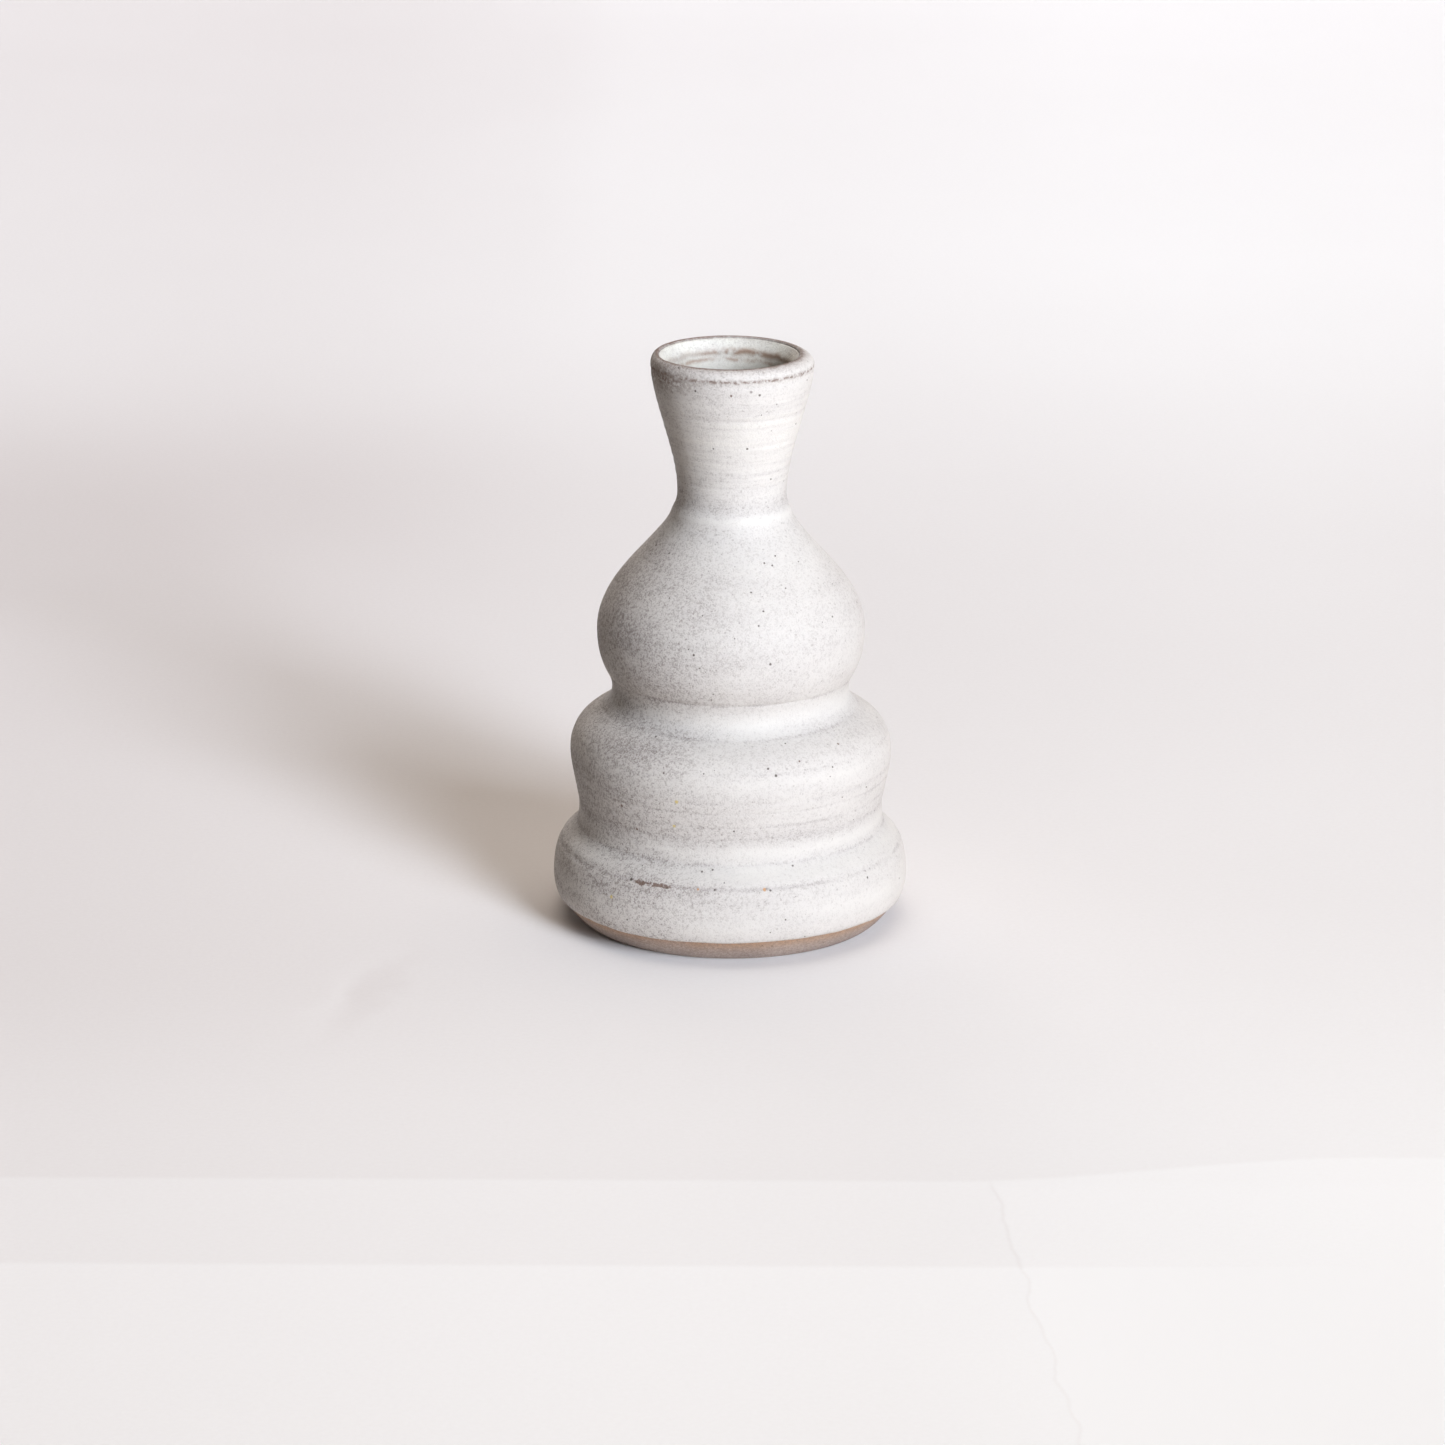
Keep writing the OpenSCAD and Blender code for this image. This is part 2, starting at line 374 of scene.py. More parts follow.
def glaze_line():
    """Where the outer coat ends above the foot, for each angle, as a distance along the outline."""
    runs = 0.32 * soft_noise(ANGLES, 0, 9, 1, 30) + 0.14 * soft_noise(ANGLES, 0, 31, 1, 31)
    drips = 0.15 * soft_noise(ANGLES, 0, 83, 1, 32)
    return S_LINE + runs + drips


LINE = glaze_line()
# The coat ends in a rounded edge that overhangs the clay by this much
EDGE_R, EDGE_STEPS = 0.28, 5
# The clay stands back behind its coats by this much more than they are thick
BEHIND = 0.03
# Along the outline, the meshes stop this far short of the axis and close in a point
AXIS_GAP = 0.6
# The liner's rings are closer together down to this distance inside the mouth
NECK_REACH = 12.0


def warped(s):
    """A row's places once the rows near the glaze line have been bent to follow it."""
    pull = 1 - smooth_step(s, S_LINE, S_LINE + 6.0)
    return s + pull * (LINE - S_LINE)


def warped_clay(s):
    """The clay's rows bend with the glaze line too, but not where the vase stands."""
    pull = smooth_step(s, S_FOOT + 1.0, S_LINE - 0.2)
    return s + pull * (LINE - S_LINE)


def outer_glaze():
    """The rounded edge above the foot, the face up to the mouth, and the back down again."""
    rows = []
    for turn in np.linspace(0, 1, EDGE_STEPS, endpoint=False):
        angle = math.pi * turn
        rise = EDGE_R * (1 - math.sin(angle))
        rows.append((warped(S_LINE) + rise, -EDGE_R * (1 + math.cos(angle))))
    face = rows_between(S_LINE + EDGE_R, S_MOUTH, 0.78, 0.36)
    swell = 0.05 * (1 - smooth_step(face, S_LINE + 0.6, S_LINE + 3.5))
    rows += [(warped(s), lift) for s, lift in zip(face, swell)]
    back = rows_between(S_LINE + 0.4, S_MOUTH, 3.0)[::-1]
    rows += [(warped(s), -COAT_T) for s in back]
    return turned_mesh("glaze_outside", rows, False)


def inner_glaze():
    """The face from the floor's middle up to the mouth, and the back down again."""
    neck = rows_between(S_MOUTH, S_MOUTH + NECK_REACH, 0.35)
    below = rows_between(S_MOUTH, S_END - AXIS_GAP, 1.3)
    face = [*neck, *below[below > S_MOUTH + NECK_REACH + 0.6]]
    rows = [(s, 0.0) for s in face[::-1]]
    rows += [(s, -LINER_T) for s in rows_between(S_MOUTH + 0.05, S_END - AXIS_GAP, 2.6)]
    return turned_mesh("glaze_inside", rows, True)


def clay_body():
    """The underside, the bare foot, and the wall behind the coats outside and inside."""
    rows = [(s, 0.0) for s in rows_between(AXIS_GAP, S_FOOT, 0.7)]
    bare = rows_between(S_FOOT + 0.1, S_LINE - 0.2, 0.4)
    sunk = -2.0 * EDGE_R * smooth_step(bare, S_FOOT + 1.0, S_LINE - 1.5)
    rows += [(warped_clay(s), lift) for s, lift in zip(bare, sunk)]
    hidden = rows_between(S_LINE + 0.3, S_MOUTH - 0.8, 1.2)
    rows += [(warped(s), -COAT_T - BEHIND) for s in hidden]
    inside = rows_between(S_MOUTH + 0.9, S_END - AXIS_GAP, 2.2)
    rows += [(s, -LINER_T - BEHIND) for s in inside]
    return turned_mesh("clay_body", rows, True)


# --- Materials ------------------------------------------------------------------------------


class Shade:
    """A material whose nodes are added by short calls. Values are numbers, colours or sockets."""

    def __init__(self, name):
        self.material = bpy.data.materials.new(name)
        self.material.use_nodes = True
        self.tree = self.material.node_tree
        self.tree.nodes.clear()
        self.place = self.node("ShaderNodeTexCoord").outputs["Object"]

    def node(self, kind, inputs=(), **settings):
        made = self.tree.nodes.new(kind)
        for key, value in settings.items():
            setattr(made, key, value)
        for key, value in dict(inputs).items():
            self.give(made.inputs[key], value)
        return made

    def give(self, socket, value):
        if isinstance(value, bpy.types.NodeSocket):
            self.tree.links.new(value, socket)
        else:
            socket.default_value = value

    def math(self, operation, a, b=0.0):
        return self.node("ShaderNodeMath", {0: a, 1: b}, operation=operation).outputs[0]

    def add(self, a, b):
        return self.math("ADD", a, b)

    def times(self, a, b):
        return self.math("MULTIPLY", a, b)

    def fit(self, value, low, high, to_low=0.0, to_high=1.0, smooth=True):
        """Value as it goes from low to high, turned into to_low to to_high and held there."""
        inputs = {"Value": value, "From Min": low, "From Max": high}
        inputs.update({"To Min": to_low, "To Max": to_high})
        kind = "SMOOTHSTEP" if smooth else "LINEAR"
        return self.node("ShaderNodeMapRange", inputs, interpolation_type=kind).outputs["Result"]

    def line(self, value, low, high, to_low=0.0, to_high=1.0):
        """The same in a straight line, without easing in and out."""
        return self.fit(value, low, high, to_low, to_high, smooth=False)

    def bell(self, value, centre, width):
        """1 where value is at centre, falling away over width on both sides."""
        off = self.math("DIVIDE", self.math("SUBTRACT", value, centre), width)
        return self.math("EXPONENT", self.times(self.times(off, off), -1.0))

    def axis(self, name):
        return self.node("ShaderNodeSeparateXYZ", {"Vector": self.place}).outputs[name]

    def scaled(self, scale, shift=(0, 0, 0)):
        inputs = {"Vector": self.place, "Scale": scale, "Location": shift}
        return self.node("ShaderNodeMapping", inputs).outputs["Vector"]

    def noise(self, size, detail=2.0, rough=0.5, stretch=(1, 1, 1), shift=0.0):
        """Noise about 0.5 whose features are about size millimetres across."""
        scale = tuple(PER_MM / size * axis for axis in stretch)
        inputs = {"Vector": self.scaled(scale, (shift, shift * 0.7, -shift)), "Scale": 1.0}
        inputs.update({"Detail": detail, "Roughness": rough})
        return self.node("ShaderNodeTexNoise", inputs).outputs["Fac"]

    def waver(self, width, size, detail=2.0, rough=0.5, **more):
        """Noise about 0 that is width from end to end."""
        return self.times(self.add(self.noise(size, detail, rough, **more), -0.5), width)

    def cells(self, size, shift=0.0):
        """Distance to the nearest cell's point, in cells, and that cell's random colour."""
        scale = (PER_MM / size,) * 3
        inputs = {"Vector": self.scaled(scale, (shift, -shift, shift * 0.6)), "Scale": 1.0}
        made = self.node("ShaderNodeTexVoronoi", inputs, feature="F1")
        return made.outputs["Distance"], made.outputs["Color"]

    def mix(self, factor, a, b):
        made = self.node("ShaderNodeMix", data_type="RGBA")
        self.give(made.inputs[0], factor)
        self.give(made.inputs[6], a)
        self.give(made.inputs[7], b)
        return made.outputs[2]

    def tinted(self, colour, mask, strength, tint):
        """A colour with a tint laid over it where the mask is."""
        return self.mix(self.times(mask, strength), colour, tint)

    def bump(self, height, distance, strength=1.0, normal=None):
        inputs = {"Height": height, "Distance": distance, "Strength": strength}
        if normal is not None:
            inputs["Normal"] = normal
        return self.node("ShaderNodeBump", inputs).outputs["Normal"]

    def attribute(self, name):
        return self.node("ShaderNodeAttribute", attribute_name=name).outputs["Fac"]

    def finish(self, colour, roughness, normal, **constants):
        inputs = {"Base Color": colour, "Roughness": roughness, "Normal": normal}
        surface = self.node("ShaderNodeBsdfPrincipled", inputs)
        for key, value in constants.items():
            surface.inputs[key.replace("_", " ")].default_value = value
        out = self.node("ShaderNodeOutputMaterial")
        self.tree.links.new(surface.outputs[0], out.inputs[0])
        return self.material


# The glazes' colours, where they lie thick and where they are thin, and what shows through them, and
# the grey of the painted shade far inside the mouth
THICK_WHITE = (0.694, 0.680, 0.644, 1)
LINER_WHITE = (0.740, 0.745, 0.690, 1)
THIN_GREY = (0.500, 0.478, 0.472, 1)
STIPPLE_GREY = (0.300, 0.272, 0.256, 1)
BREAK_BROWN = (0.135, 0.075, 0.050, 1)
RING_BROWN = (0.240, 0.140, 0.085, 1)
DEPTH_SHADE_GREY = (0.34, 0.32, 0.28, 1)
IRON_DARK = (0.055, 0.038, 0.030, 1)
RUST = (0.52, 0.27, 0.10, 1)
OCHRE = (0.62, 0.50, 0.17, 1)
# The bare clay's colours: its two clouds, the band toasted beside the glaze, and its grains
CLAY_PALE, CLAY_GREY = (0.455, 0.378, 0.335, 1), (0.375, 0.310, 0.278, 1)
CLAY_TOASTED = (0.470, 0.300, 0.185, 1)
GRAIN_BROWN, SAND_BROWN = (0.170, 0.135, 0.115, 1), (0.200, 0.155, 0.130, 1)
GRIT_PALE, GRIT_DARK = (0.580, 0.500, 0.430, 1), (0.100, 0.070, 0.055, 1)

# Single specks and spots: (degrees right of the front, height, radius, colour), in millimetres
SPOTS = (
    (-34.8, 20.6, 0.55, IRON_DARK),
    (-43.0, 38.1, 0.50, BREAK_BROWN),
    (-37.0, 32.4, 0.45, BREAK_BROWN),
    (-10.5, 20.4, 0.40, RUST),
    (11.5, 20.4, 0.60, RUST),
    (-19.2, 42.2, 0.60, OCHRE),
    (-20.8, 35.2, 0.50, OCHRE),
    (-41.5, 15.1, 0.65, OCHRE),
    (16.5, 49.4, 0.45, IRON_DARK),
    (13.8, 51.1, 0.35, IRON_DARK),
    (26.5, 52.0, 0.35, BREAK_BROWN),
    (47.0, 53.7, 0.40, BREAK_BROWN),
    (-24.5, 49.3, 0.35, IRON_DARK),
    (16.8, 77.0, 0.40, IRON_DARK),
    (-15.8, 79.3, 0.38, IRON_DARK),
    (13.5, 144.5, 0.45, STIPPLE_GREY),
    (-0.5, 143.6, 0.38, BREAK_BROWN),
    (-26.5, 144.3, 0.35, IRON_DARK),
)


def spot_point(degrees, height):
    """A place on the outside, in metres; 0 degrees faces the camera."""
    outer = slice(np.searchsorted(OUTLINE.s, S_FOOT), np.searchsorted(OUTLINE.s, S_LIP))
    radius = np.interp(height, OUTLINE.z[outer], OUTLINE.r[outer])
    angle = math.radians(degrees - 90)
    return (radius * math.cos(angle) * MM, radius * math.sin(angle) * MM, height * MM)


def near_point(shade, point, radius):
    """1 within a radius in millimetres of a point in metres, with a ragged soft edge."""
    ragged = 0.5
    made = shade.node("ShaderNodeVectorMath", {0: shade.place, 1: point}, operation="DISTANCE")
    distance = shade.add(made.outputs["Value"], shade.waver(radius * ragged * MM, 0.5))
    return shade.fit(distance, radius * 0.55 * MM, radius * 1.1 * MM, 1.0, 0.0)


def specks(shade, size, radius, share, shift):
    """Round specks of a radius in millimetres, in the given share of cells of a size."""
    distance, colour = shade.cells(size, shift)
    parts = shade.node("ShaderNodeSeparateColor", {"Color": colour}).outputs
    chosen = shade.math("LESS_THAN", parts["Red"], share)
    reach = shade.times(shade.line(parts["Green"], 0, 1, 0.55, 1.25), radius / size)
    dot = shade.fit(distance, shade.times(reach, 0.6), reach, 1.0, 0.0)
    return shade.times(dot, chosen)


def stipple(shade, thin):
    """Fine grey grains, denser where the glaze is thin; returns their mask and a height."""
    fine = shade.noise(0.42, 3.0, 0.85)
    grain = shade.noise(1.0, 3.0, 0.7, shift=3.1)
    both = shade.add(shade.times(fine, 0.62), shade.times(grain, 0.38))
    soft = shade.fit(shade.add(both, shade.times(thin, 0.06)), 0.500, 0.595)
    dots = shade.times(specks(shade, 0.62, 0.26, 0.60, 5.5), shade.fit(soft, 0, 1, 0.20, 0.60))
    return shade.add(shade.times(soft, 0.85), dots), both


def mouth_line(shade):
    """The sharp inner edge of the mouth, where the glaze runs off and shows brown."""
    inward = shade.add(shade.attribute("inward"), shade.waver(1.5, 1.8, 3.0, 0.7))
    line = shade.bell(inward, -0.95, 0.85)
    patches = shade.fit(shade.noise(2.3, 2.0, 0.6, shift=7.0), 0.30, 0.55, 0.60, 1.0)
    left = shade.fit(shade.axis("X"), 0.012, -0.014, 0.85, 1.0)
    return shade.times(shade.times(line, patches), left)


def lip_break(shade, level):
    """Brown on the ring under the lip, darker brown towards its shaded left, and on the mouth's
    edge.
    """
    ring = shade.bell(shade.add(level, shade.waver(1.0, 1.6, 2.0)), TOP - 2.9, 0.50)
    dashes = shade.fit(shade.noise(1.1, 2.0, 0.6, shift=7.0), 0.36, 0.60, 0.15, 1.0)
    ring = shade.times(shade.times(ring, dashes), 0.80)
    # Darker brown that grows towards the lip's shaded left.
    brown_towards_left = shade.bell(level, TOP - 4.0, 3.2)
    brown_towards_left = shade.times(brown_towards_left, shade.fit(shade.axis("X"), -0.004, -0.019))
    grit = shade.fit(shade.noise(0.8, 3.0, 0.7, shift=2.2), 0.34, 0.58)
    brown_towards_left = shade.times(shade.times(brown_towards_left, grit), 0.74)
    edge = shade.times(mouth_line(shade), 0.85)
    return shade.math("MAXIMUM", edge, shade.math("MAXIMUM", ring, brown_towards_left))


def crawl(shade, level):
    """Where the glaze has crawled off the shoulder's edge for a way, left of the front."""
    x = shade.axis("X")
    start, end = shade.fit(x, -0.0258, -0.0222), shade.fit(x, -0.0165, -0.0138, 1.0, 0.0)
    front = shade.math("LESS_THAN", shade.axis("Y"), 0.0)
    band = shade.bell(shade.add(level, shade.waver(1.7, 1.3, 3.0, 0.75)), 20.30, 0.50)
    broken = shade.fit(shade.noise(1.1, 3.0, 0.7, shift=6.0), 0.36, 0.47)
    patch = shade.times(shade.times(band, shade.times(start, end)), shade.times(front, broken))
    return shade.fit(patch, 0.20, 0.55)


def glaze_thinness_and_painted_shade(shade, level, left):
    """How grey the glaze is painted: below 0 where it lies thick and white, and 1 where it is grey.
    It is partly the glaze's own thinning and partly painted light and shade: painted shade on the
    side away from the lamps, in the grooves and in the crease, and painted light on the ridges and
    broad bands.
    """
    thin = shade.waver(0.9, 17, 3.0, 0.55, stretch=(0.5, 0.5, 1.7))
    # Greyer towards the side away from the lamps: partly the glaze's own grey, partly painted shade.
    thin = shade.add(thin, shade.line(left, 0, 1, 0.17, 0.36))
    mottling = shade.line(left, 0, 1, 0.45, 1.1)
    mottle = shade.waver(mottling, 5.5, 3.0, 0.6, stretch=(0.5, 0.5, 1.4), shift=5.0)
    thin = shade.add(thin, mottle)
    patchy = shade.fit(shade.noise(9, 2.0, 0.5, shift=9.0), 0.36, 0.62)
    patchy = shade.line(patchy, 0, 1, 0.10, 1.0)
    # The marks grey or whiten the glaze: partly its own thinning, partly painted shade in the
    # grooves and the crease under the bulb and painted light on the ridges and broad bands.
    for height, width, _, thinning_and_painted_shading in MARKS:
        bell = shade.bell(level, height, max(width, 0.30))
        if width < FINE_MARK:
            bell = shade.times(bell, patchy)
        thin = shade.add(thin, shade.times(bell, thinning_and_painted_shading))
    streaks = shade.noise(1.0, 3.0, 0.62, stretch=(0.05, 0.05, 1.0), shift=2.0)
    neck = shade.times(shade.fit(level, 111, 118), shade.fit(level, 139, 146, 1.0, 0.0))
    return shade.add(thin, shade.times(shade.times(shade.add(streaks, -0.53), neck), 1.3))


def iron_specks(shade, level):
    """Iron specks all over, with more of them in two rows."""
    row = shade.add(shade.bell(level, 50.0, 2.0), shade.bell(level, 81.0, 4.5))
    crowded = shade.times(specks(shade, 2.4, 0.30, 0.11, 4.4), row)
    return shade.math("MAXIMUM", specks(shade, 3.0, 0.30, 0.50, 1.7), crowded)


def glaze_skin(shade, height):
    """The normal of a glaze that is pitted at its grains and a little like orange peel."""
    pitted = shade.bump(shade.times(height, -1.0), 0.22 * MM, 1.0)
    return shade.bump(shade.noise(2.2, 2.0, 0.5, shift=8.0), 0.25 * MM, 0.35, pitted)


def white_glaze():
    shade = Shade("satin_white_glaze")
    level = shade.attribute("level")
    # Towards the side away from the lamps the glaze is painted greyer and its stipple darker:
    # painted shade over the glaze's own grey and grains.
    left = shade.fit(shade.axis("X"), 0.008, -0.034)
    thin = glaze_thinness_and_painted_shade(shade, level, left)
    grains, height = stipple(shade, thin)
    colour = shade.mix(shade.line(thin, -0.35, 1.15), THICK_WHITE, THIN_GREY)
    strength = shade.add(shade.line(thin, -0.1, 0.65, 0.16, 0.62), shade.times(left, 0.70))
    colour = shade.tinted(colour, grains, strength, STIPPLE_GREY)
    colour = shade.tinted(colour, lip_break(shade, level), 1.0, BREAK_BROWN)
    colour = shade.tinted(colour, crawl(shade, level), 0.8, BREAK_BROWN)
    for degrees, spot_height, radius, tint in SPOTS:
        spot = near_point(shade, spot_point(degrees, spot_height), radius)
        colour = shade.tinted(colour, spot, 0.85, tint)
    pricks = specks(shade, 1.7, 0.29, 0.80, 2.9)
    colour = shade.tinted(colour, pricks, shade.fit(thin, -0.1, 0.5, 0.20, 0.75), STIPPLE_GREY)
    iron = iron_specks(shade, level)
    colour = shade.tinted(colour, iron, 0.75, IRON_DARK)
    normal = shade.bump(iron, -0.20 * MM, 0.8, glaze_skin(shade, height))
    rough = shade.line(shade.add(thin, shade.times(grains, 0.25)), 0.0, 1.2, 0.54, 0.68)
    return shade.finish(colour, rough, normal, Specular_IOR_Level=0.3, IOR=1.5)


def liner_glaze():
    shade = Shade("pale_liner_glaze")
    thin = shade.add(shade.waver(1.2, 8, 3.0, 0.55), 0.2)
    thin = shade.math("MAXIMUM", thin, 0.0)
    grains, height = stipple(shade, thin)
    colour = shade.mix(shade.line(thin, 0.0, 1.1), LINER_WHITE, THIN_GREY)
    colour = shade.tinted(colour, grains, 0.35, STIPPLE_GREY)
    # Painted shade: the liner turns darker grey further inside the mouth.
    painted_depth_shade = shade.fit(shade.attribute("inward"), 2.0, 10.0)
    colour = shade.tinted(colour, painted_depth_shade, 0.85, DEPTH_SHADE_GREY)
    # Two rings where the glaze has broken brown, paler on the left
    level = shade.add(shade.attribute("level"), shade.waver(1.6, 4.0, 3.0))
    ring = shade.bell(level, INNER_RING[1] - 0.3, 0.95)
    patches = shade.fit(shade.noise(4.2, 3.0, 0.6, shift=1.0), 0.32, 0.54, 0.25, 1.0)
    patches = shade.times(patches, shade.fit(shade.axis("X"), -0.011, -0.003, 0.45, 1.0))
    colour = shade.tinted(colour, shade.times(ring, patches), 0.85, RING_BROWN)
    lower_ring = shade.bell(level, INNER_RING[1] - 2.2, 0.60)
    lower_patches = shade.fit(shade.noise(3.4, 3.0, 0.6, shift=11.0), 0.36, 0.54, 0.30, 1.0)
    colour = shade.tinted(colour, shade.times(lower_ring, lower_patches), 0.62, RING_BROWN)
    colour = shade.tinted(colour, mouth_line(shade), 0.85, BREAK_BROWN)
    rough = shade.line(grains, 0.0, 1.0, 0.34, 0.5)
    normal = glaze_skin(shade, height)
    return shade.finish(colour, rough, normal, Specular_IOR_Level=0.5, IOR=1.5)


def bare_clay():
    shade = Shade("bare_stoneware")
    clouds = shade.noise(11, 3.0, 0.55)
    fine = shade.noise(0.50, 3.0, 0.8)
    sand = shade.noise(0.9, 2.0, 0.6, shift=2.0)
    colour = shade.mix(shade.fit(clouds, 0.3, 0.7), CLAY_PALE, CLAY_GREY)
    flash = shade.bell(shade.attribute("level"), GLAZE_LINE_Z - 0.3, 2.1)
    layers = (
        (shade.times(flash, shade.fit(clouds, 0.25, 0.6, 0.5, 1.0)), 0.85, CLAY_TOASTED),
        (shade.fit(fine, 0.47, 0.60), 0.42, GRAIN_BROWN),
        (shade.fit(sand, 0.46, 0.60), 0.28, SAND_BROWN),
        (specks(shade, 0.9, 0.20, 0.40, 6.0), 0.5, GRIT_PALE),
        (specks(shade, 2.6, 0.28, 0.30, 3.0), 0.7, GRIT_DARK),
    )
    for mask, strength, tint in layers:
        colour = shade.tinted(colour, mask, strength, tint)
    rings = shade.noise(0.8, 2.0, 0.6, stretch=(0.04, 0.04, 1.0))
    turned = shade.bump(rings, 0.22 * MM, 0.5)
    gritty = shade.bump(shade.add(fine, shade.times(sand, 1.2)), 0.20 * MM, 0.8, turned)
    rough = shade.fit(sand, 0.3, 0.7, 0.78, 0.95)
    return shade.finish(colour, rough, gritty, Specular_IOR_Level=0.3)


# The paper's colours as seen in its painted shade, warm, and in its painted light, cool as daylight,
# and the share of the light that it sends on where the room is lit and where it is dark
PAPER_IN_PAINTED_SHADE, PAPER_IN_PAINTED_LIGHT = (0.645, 0.622, 0.625, 1), (0.950, 0.980, 1.000, 1)
SENT_LIT, SENT_DARK = (0.95, 0.92, 0.91, 1), (0.07, 0.06, 0.05, 1)

# How the paper's painted light and shade change across the stage, darker just behind the vase,
# lighter where the paper rises further back, darker again far off, lighter in front, lighter on the
# right and darker on the left: (axis, from, to, change), in metres
PAPER_PAINTED_SLOPES = (
    ("Y", 0.02, 0.27, -0.07),
    ("Y", 0.34, 0.66, 0.17),
    ("Y", 0.65, 1.30, -0.17),
    ("Y", -0.04, -0.18, 0.18),
    ("X", 0.0, 0.20, 0.16),
    ("X", 0.0, -0.20, -0.22),
)


def painted_paper_shading(shade, axes):
    """The paper's painted light and shade, from 0 to 1, without its folds: its slopes, a soft
    painted shadow of the vase behind it on the left, painted light in front of it on the right, and
    the painted shading of a wrinkle far off.
    """
    x, y = axes["X"], axes["Y"]
    tone = shade.fit(shade.noise(140, 2.0, 0.4), 0.3, 0.7, 0.44, 0.46)
    for axis, start, end, change in PAPER_PAINTED_SLOPES:
        tone = shade.add(tone, shade.fit(axes[axis], start, end, 0.0, change))
    # A soft painted shadow of the vase behind it on the left, painted light in front on the right,
    # and a wrinkle's painted shading far off.
    painted_shadow_left_behind = shade.times(shade.fit(x, 0.0, -0.15), shade.bell(y, 0.42, 0.12))
    painted_light_right_front = shade.times(shade.fit(x, 0.03, 0.10), shade.fit(y, 0.02, -0.08))
    painted_wrinkle_shading = shade.times(shade.fit(x, -0.085, -0.045), shade.fit(y, 0.55, 0.80))
    for patch, change in ((painted_shadow_left_behind, -0.17), (painted_light_right_front, 0.08), (painted_wrinkle_shading, 0.06)):
        tone = shade.add(tone, shade.times(patch, change))
    return tone


def painted_fold_shading_and_fibres(shade, axes, tone):
    """The tone with the painted light and shade of the paper's folds, its crease and a dent, and
    with its fibres.
    """
    x, y = axes["X"], axes["Y"]
    # Two shallow folds run across the paper in front of the vase, painted as steps to lighter paper
    # on the camera's side of each; the first one bends back
    half_fold, painted_fold_light = 0.0015, 0.12
    bend = shade.fit(x, 0.05, 0.15, 0.0, -0.016)
    for along, fold in ((shade.add(y, bend), -0.193), (y, -0.245)):
        step = shade.fit(along, fold + half_fold, fold - half_fold, 0.0, painted_fold_light)
        tone = shade.add(tone, step)
    # A crease runs off them towards the camera, painted as a dark line with lighter paper on its
    # right, and a soft dent lies to the left, painted as a band of shade with a painted highlight on
    # its left
    sway = shade.waver(1.0, 22, 2.0, 0.5, shift=4.0)
    off_crease = shade.add(shade.add(x, shade.times(y, 0.084)), shade.times(sway, 0.006))
    crease = shade.fit(off_crease, 0.0445, 0.0455, 0.0, 0.04)
    crease = shade.add(crease, shade.times(shade.bell(off_crease, 0.0446, 0.0005), -0.11))
    tone = shade.add(tone, shade.times(crease, shade.fit(y, -0.19, -0.20)))
    off_dent = shade.add(shade.add(x, shade.times(y, -0.29)), shade.times(sway, 0.022))
    along_dent = shade.bell(y, -0.066, 0.026)
    for offset, depth in ((-0.071, -0.11), (-0.079, 0.06)):
        dent = shade.times(shade.bell(off_dent, offset, 0.005), along_dent)
        tone = shade.add(tone, shade.times(dent, depth))
    return shade.add(tone, shade.waver(0.16, 1.3, 3.0, 0.7))


def paper_darkness(shade, axes):
    """1 where the paper lies in the dark part of the room, left of the vase."""
    x, y = axes["X"], axes["Y"]
    front_or_back = shade.times(shade.math("ABSOLUTE", y), -0.6)
    leftness = shade.fit(shade.add(shade.times(x, -1.0), front_or_back), 0.00, 0.12)
    return shade.times(leftness, shade.fit(x, -0.50, -0.32, 0.92, 1.0))


def stage_paper():
    """Pale paper. It is seen from its front only, so that a view from below still shows the foot.
    Left of the vase it looks pale but sends the vase little light, as if the room were dark."""
    shade = Shade("stage_paper")
    axes = shade.node("ShaderNodeSeparateXYZ", {"Vector": shade.place}).outputs
    tone = painted_fold_shading_and_fibres(shade, axes, painted_paper_shading(shade, axes))
    # The camera sees the paper in painted light and shade, running from the shaded colour to the lit
    # one with the tone.
    seen = shade.mix(tone, PAPER_IN_PAINTED_SHADE, PAPER_IN_PAINTED_LIGHT)
    sent = shade.mix(paper_darkness(shade, axes), SENT_LIT, SENT_DARK)
    to_camera = shade.node("ShaderNodeLightPath").outputs["Is Camera Ray"]
    paper = shade.node("ShaderNodeBsdfDiffuse", {"Color": shade.mix(to_camera, sent, seen)})
    clear = shade.node("ShaderNodeBsdfTransparent")
    behind = shade.node("ShaderNodeNewGeometry").outputs["Backfacing"]
    mixed = shade.node("ShaderNodeMixShader", {0: behind})
    shade.tree.links.new(paper.outputs[0], mixed.inputs[1])
    shade.tree.links.new(clear.outputs[0], mixed.inputs[2])
    out = shade.node("ShaderNodeOutputMaterial")
    shade.tree.links.new(mixed.outputs[0], out.inputs[0])
    return shade.material


# --- The studio -----------------------------------------------------------------------------


def make_camera():
    """A long lens looking down on the vase, as in the photograph."""
    back, up = 1.4925, 0.5116
    pitch, yaw, roll = math.radians(17.14), math.radians(0.08), math.radians(0.22)
    data = bpy.data.cameras.new("camera")
    data.lens, data.sensor_width = 150.0, 36.0
    data.clip_start, data.clip_end = 0.05, 30.0
    camera = bpy.data.objects.new("camera", data)
    bpy.context.scene.collection.objects.link(camera)
    turn = Matrix.Rotation(yaw, 4, "Z") @ Matrix.Rotation(math.pi / 2 - pitch, 4, "X")
    camera.matrix_world = Matrix.Translation((0, -back, up)) @ turn @ Matrix.Rotation(roll, 4, "Z")
    bpy.context.scene.camera = camera


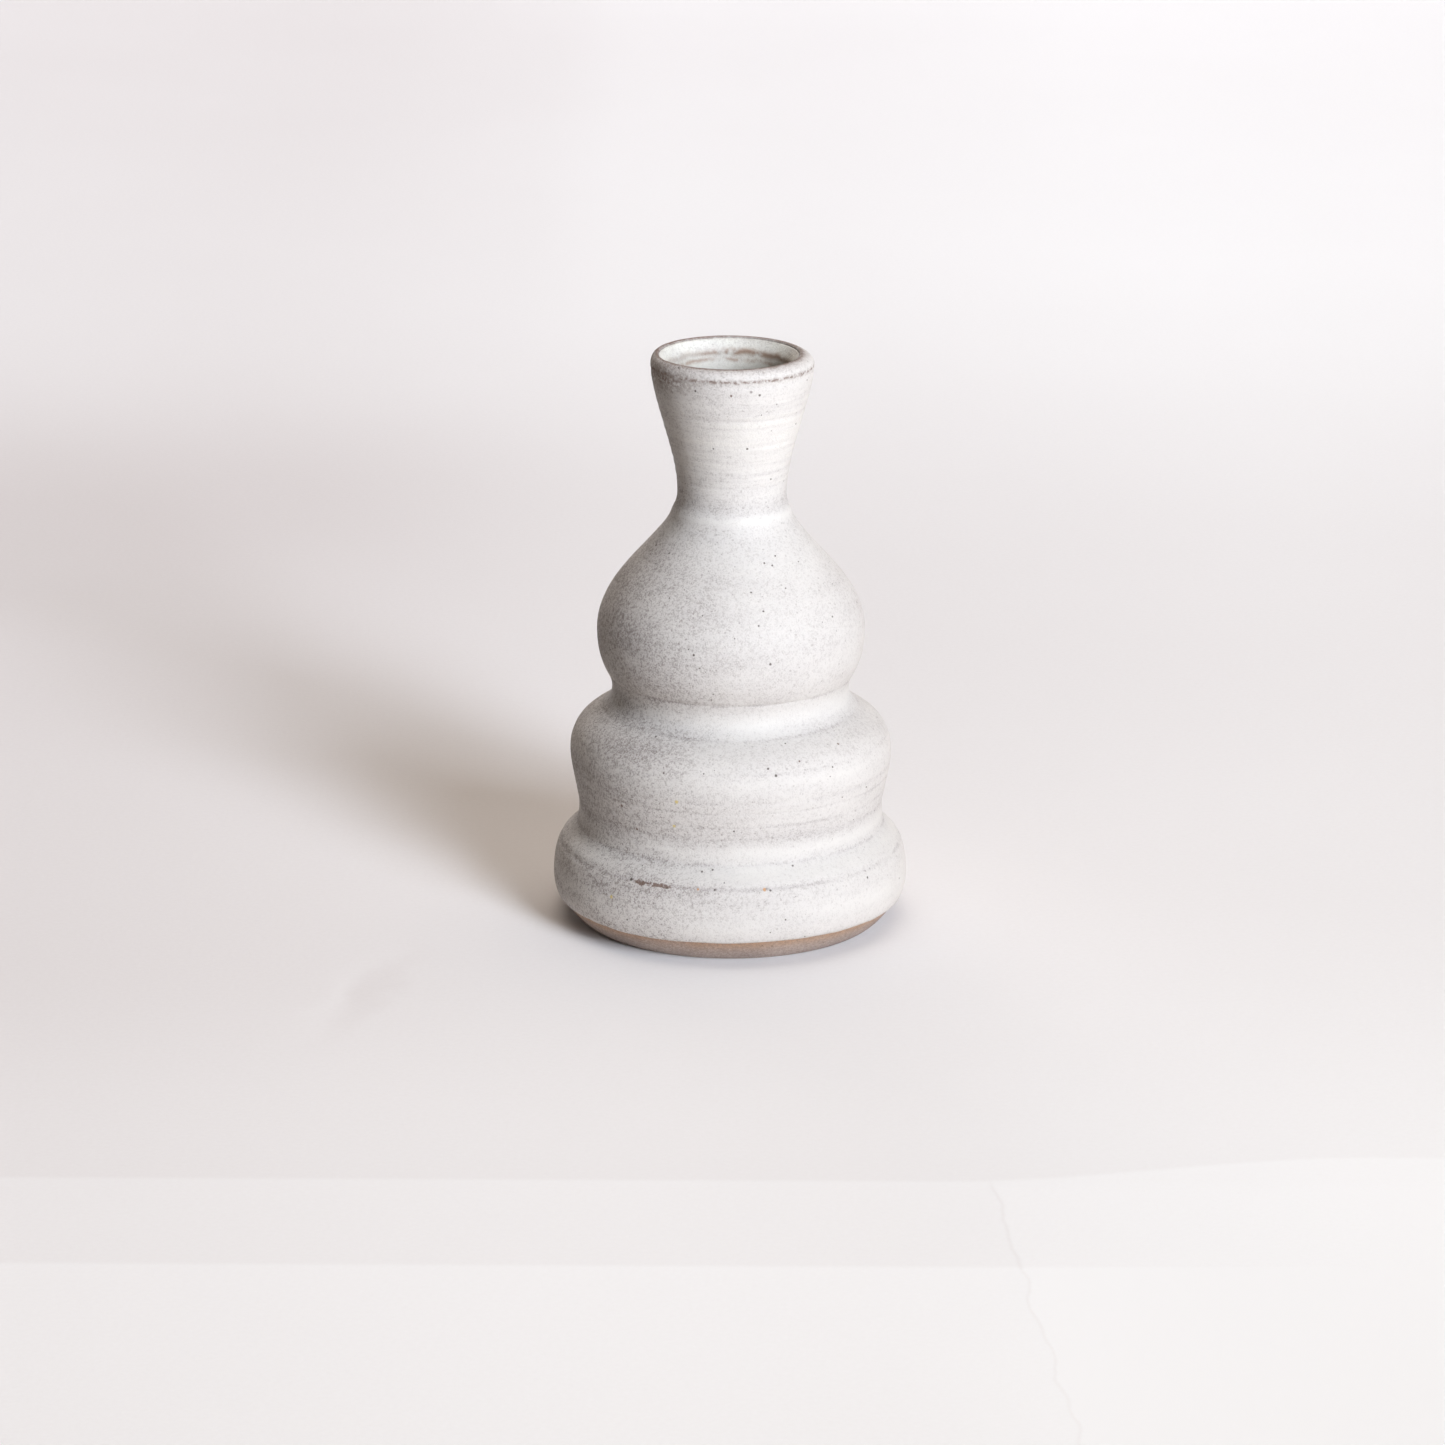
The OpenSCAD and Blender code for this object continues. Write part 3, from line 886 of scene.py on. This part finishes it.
def make_stage():
    """A round sweep of paper: a flat floor that turns up into a low wall all round. The foot
    covers a hole in it, which lets light from below reach the underside when that is looked at."""
    hole, flat, bend, wall = 0.0384, 1.9, 0.7, 0.1
    steps, sides = 16, 96
    section = [(radius, 0.0) for radius in (hole, 0.25, 0.8, flat)]
    for i in range(1, steps + 1):
        angle = math.pi / 2 * i / steps
        section.append((flat + bend * math.sin(angle), bend * (1 - math.cos(angle))))
    section.append((flat + bend, bend + wall))
    vertices, faces = [], []
    for radius, height in section:
        for j in range(sides):
            angle = FULL_TURN * j / sides
            vertices.append((radius * math.cos(angle), radius * math.sin(angle), height))
    for i in range(len(section) - 1):
        low, high = i * sides, (i + 1) * sides
        for j in range(sides):
            k = (j + 1) % sides
            faces.append((low + j, high + j, high + k, low + k))
    mesh = bpy.data.meshes.new("sweep")
    mesh.from_pydata(vertices, [], faces)
    mesh.polygons.foreach_set("use_smooth", np.ones(len(faces), bool))
    mesh.materials.append(stage_paper())
    sweep_paper = bpy.data.objects.new("sweep", mesh)
    bpy.context.scene.collection.objects.link(sweep_paper)


DAYLIGHT, ROOM_LIGHT = (0.935, 0.990, 1.085), (1.0, 0.855, 0.735)
PAPER_LIGHT = (1.0, 0.985, 0.97)
LIGHT_DISTANCE, AIM_HEIGHT = 2.0, 0.07


def far_light(name, azimuth, elevation, spread, strength, colour):
    """Light from far off. Azimuth is its degrees to the right of the camera and spread its width."""
    light = bpy.data.lights.new(name, "SUN")
    light.energy, light.angle, light.color = strength, math.radians(spread), colour
    a, e = math.radians(azimuth), math.radians(elevation)
    toward = Vector((math.sin(a) * math.cos(e), -math.cos(a) * math.cos(e), math.sin(e)))
    lamp = bpy.data.objects.new(name, light)
    lamp.location = toward * LIGHT_DISTANCE + Vector((0, 0, AIM_HEIGHT))
    lamp.rotation_mode = "QUATERNION"
    lamp.rotation_quaternion = toward.to_track_quat("Z", "Y")
    bpy.context.scene.collection.objects.link(lamp)


def make_lights():
    """A tall window low on the right of the camera, and a dim warm room above."""
    far_light("window_low", 32, 16, 16, 3.4, DAYLIGHT)
    far_light("window_high", 36, 33, 24, 1.95, DAYLIGHT)
    far_light("room", 172, 76, 60, 1.54, ROOM_LIGHT)
    far_light("backdrop_glow", -156, 6, 30, 1.3, ROOM_LIGHT)
    # The paper is lit for some way beyond what is built of it, and sends light up at the vase
    far_light("paper_glow", 20, -48, 90, 0.92, PAPER_LIGHT)


def make_world():
    """A dim room. It looks pale where it is seen past the paper."""
    given, looks = 0.03, 0.75
    world = bpy.data.worlds.new("studio")
    world.use_nodes = True
    tree = world.node_tree
    background = tree.nodes["Background"]
    background.inputs["Color"].default_value = (*ROOM_LIGHT, 1)
    path = tree.nodes.new("ShaderNodeLightPath")
    strength = tree.nodes.new("ShaderNodeMapRange")
    strength.inputs["To Min"].default_value = given
    strength.inputs["To Max"].default_value = looks
    tree.links.new(path.outputs["Is Camera Ray"], strength.inputs["Value"])
    tree.links.new(strength.outputs["Result"], background.inputs["Strength"])
    bpy.context.scene.world = world


def build():
    bpy.context.scene.view_settings.view_transform = "Standard"
    make_camera()
    make_stage()
    make_lights()
    make_world()
    plan = (
        (clay_body, bare_clay, "stoneware_body", "stoneware_clay"),
        (outer_glaze, white_glaze, "outer_glaze", "white_glaze"),
        (inner_glaze, liner_glaze, "inner_glaze", "liner_glaze"),
    )
    for shape, material, node, slot in plan:
        piece = shape()
        piece.data.materials.append(material())
        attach(piece, "root")
        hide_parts(node)


build()
